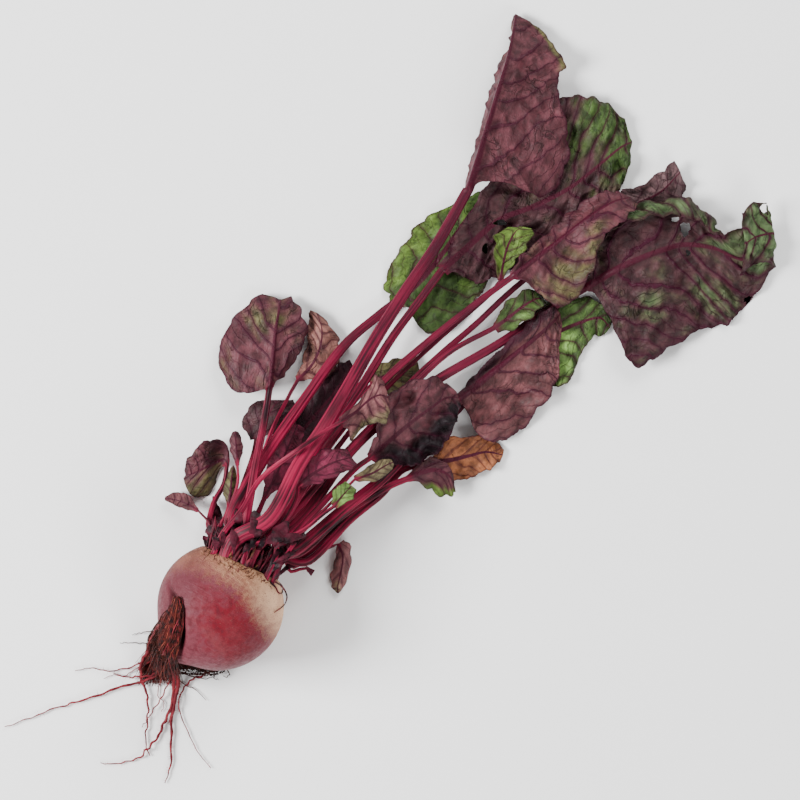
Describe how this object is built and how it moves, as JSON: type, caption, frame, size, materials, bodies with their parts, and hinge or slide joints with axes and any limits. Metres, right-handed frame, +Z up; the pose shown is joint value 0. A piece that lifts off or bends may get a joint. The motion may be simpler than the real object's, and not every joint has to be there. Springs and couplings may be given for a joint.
{
  "type": "beetroot",
  "caption": "Whole beetroot lying on its side: round dusky red root, tan shoulder, tuft of rootlets with soil, long crimson stems and crumpled purple and green leaves",
  "frame": {"origin": "on the surface the beetroot lies on, under the middle of its outline", "axes": "+X from the root tuft towards the leaf tips, +Z up from the surface, +Y to the left of the stems seen from above"},
  "size_m": [0.4537, 0.1852, 0.0574],
  "materials": {
    "bulb": "dry dusky red skin with crimson rub marks and a tan corky shoulder",
    "root_tuft": "dark soil with red fibres",
    "leaf_purple": "satin purple-brown leaf with magenta veins on a crimson stem",
    "leaf_green": "satin green leaf with red veins on a crimson stem",
    "leaf_grey": "dull shaded grey-purple leaf on a crimson stem",
    "leaf_dry": "dry brown leaf, matt"
  },
  "bodies": {
    "root": {"bulb": "bulb", "leaf_beside_round": "leaf_purple", "leaf_big_holed": "leaf_purple", "leaf_big_low": "leaf_purple", "leaf_bright_folded": "leaf_green", "leaf_crumpled_dark": "leaf_purple", "leaf_cupped_left": "leaf_green", "leaf_dark_behind": "leaf_grey", "leaf_dark_tip": "leaf_purple", "leaf_dry_brown": "leaf_dry", "leaf_fan_purple": "leaf_purple", "leaf_far_left": "leaf_purple", "leaf_green_bud": "leaf_green", "leaf_green_edged": "leaf_green", "leaf_green_left": "leaf_green", "leaf_green_under": "leaf_green", "leaf_grey_between": "leaf_grey", "leaf_grey_left": "leaf_grey", "leaf_hanging_right": "leaf_purple", "leaf_olive_behind": "leaf_green", "leaf_olive_small": "leaf_green", "leaf_oval_purple": "leaf_purple", "leaf_pale_folded": "leaf_green", "leaf_round_upper": "leaf_purple", "leaf_stub": "leaf_purple", "leaf_tan_middle": "leaf_purple", "leaf_top_folded": "leaf_purple", "leaf_upright_small": "leaf_purple", "leaf_wrinkled_green": "leaf_green", "leaf_yellow_tip": "leaf_green", "root_tuft": "root_tuft"}
  },
  "joints": []
}
